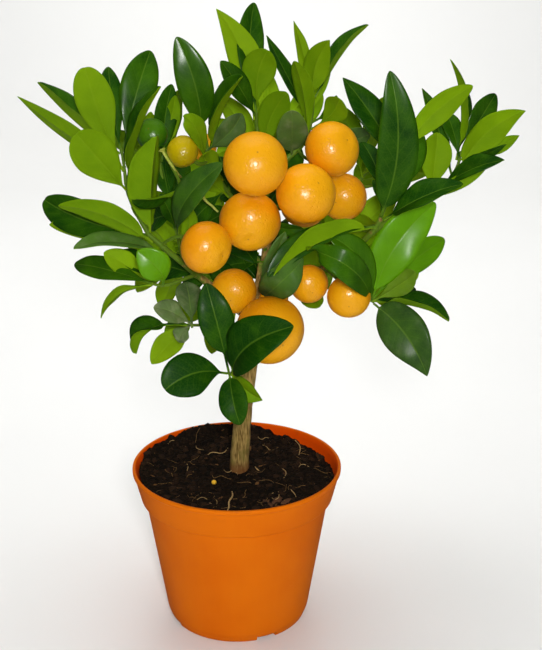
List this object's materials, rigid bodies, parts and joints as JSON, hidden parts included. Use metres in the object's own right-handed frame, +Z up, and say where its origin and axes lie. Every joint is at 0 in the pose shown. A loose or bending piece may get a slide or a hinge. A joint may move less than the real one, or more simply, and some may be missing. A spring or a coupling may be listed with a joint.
{
  "type": "calamondin bonsai",
  "caption": "Small calamondin citrus tree with glossy leaves and ripe orange fruit on a slim branching trunk, growing in soil in a tapered orange plastic pot.",
  "frame": {"origin": "centre of the pot's flat underside", "axes": "+Z up along the pot's axis, -Y towards the side that is viewed, +X to that viewer's right"},
  "size_m": [0.2682, 0.1881, 0.3482],
  "materials": {
    "pot": "satin moulded plastic",
    "soil": "moist crumbly potting soil with bark and root fibres",
    "wood": "finely ridged bark, green on young shoots",
    "ripe_fruit": "glossy dimpled citrus peel",
    "turning_fruit": "glossy dimpled citrus peel, yellow-green",
    "green_fruit": "glossy dimpled citrus peel, dark green",
    "leaf": "leathery leaf, dark and glossy above, pale and dull below"
  },
  "bodies": {
    "root": {"pot": "pot", "soil": "soil", "trunk_and_branches": "wood", "fruit_01": "ripe_fruit", "fruit_02": "ripe_fruit", "fruit_03": "ripe_fruit", "fruit_04": "ripe_fruit", "fruit_05": "ripe_fruit", "fruit_06": "ripe_fruit", "fruit_07": "ripe_fruit", "fruit_08": "ripe_fruit", "fruit_09": "ripe_fruit", "fruit_10": "ripe_fruit", "fruit_11": "turning_fruit", "fruit_12": "green_fruit", "fruit_13": "ripe_fruit", "fruit_14": "ripe_fruit", "fruit_15": "ripe_fruit", "leaf_high_left_1": "leaf", "leaf_high_left_2": "leaf", "leaf_high_left_3": "leaf", "leaf_high_left_4": "leaf", "leaf_high_left_5": "leaf", "leaf_high_left_6": "leaf", "leaf_inner_left_1": "leaf", "leaf_inner_left_2": "leaf", "leaf_mid_left_1": "leaf", "leaf_mid_left_2": "leaf", "leaf_mid_left_3": "leaf", "leaf_mid_left_4": "leaf", "leaf_top_left_1": "leaf", "leaf_top_left_2": "leaf", "leaf_crown_1": "leaf", "leaf_crown_2": "leaf", "leaf_crown_3": "leaf", "leaf_top_right_1": "leaf", "leaf_top_right_2": "leaf", "leaf_top_right_3": "leaf", "leaf_top_right_4": "leaf", "leaf_top_right_5": "leaf", "leaf_high_right_1": "leaf", "leaf_high_right_2": "leaf", "leaf_high_right_3": "leaf", "leaf_mid_right_1": "leaf", "leaf_mid_right_2": "leaf", "leaf_far_right_1": "leaf", "leaf_far_right_2": "leaf", "leaf_far_right_3": "leaf", "leaf_low_right_1": "leaf", "leaf_low_right_2": "leaf", "leaf_low_right_3": "leaf", "leaf_low_left_1": "leaf", "leaf_low_left_2": "leaf", "leaf_bottom_left_1": "leaf", "leaf_front_1": "leaf", "leaf_front_2": "leaf", "leaf_front_3": "leaf", "leaf_front_4": "leaf", "leaf_back_left_1": "leaf", "leaf_back_right_1": "leaf"}
  },
  "joints": []
}
